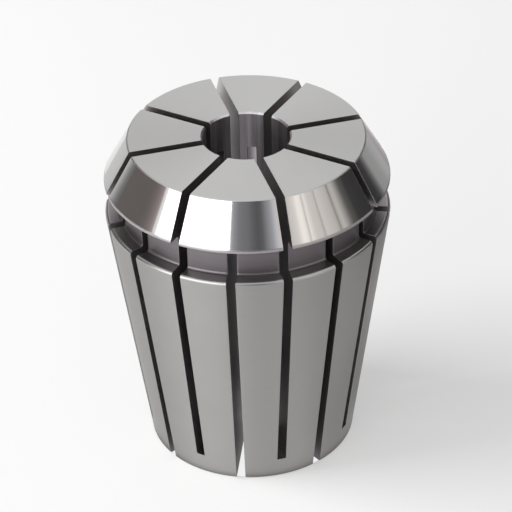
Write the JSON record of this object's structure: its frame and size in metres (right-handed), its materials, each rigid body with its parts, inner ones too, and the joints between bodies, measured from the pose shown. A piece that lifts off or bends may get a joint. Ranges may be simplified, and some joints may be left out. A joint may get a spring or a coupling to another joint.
{
  "type": "er collet",
  "caption": "Slotted spring collet with a steep nose cone, an extraction groove, a long shallow taper and a straight through bore, which grips a round tool shank.",
  "frame": {"origin": "centre of the small rear face, on the bore's axis", "axes": "+Z along the bore, from the rear face towards the nose face; +X runs through the middle of one of the slots that open at the nose"},
  "size_m": [0.0328, 0.0328, 0.04],
  "materials": {
    "steel": "hardened spring steel: ground satin on the nose face and the taper, polished on the nose cone, turned in the groove, dark in the slots"
  },
  "bodies": {
    "root": {"collet": "steel"}
  },
  "joints": []
}
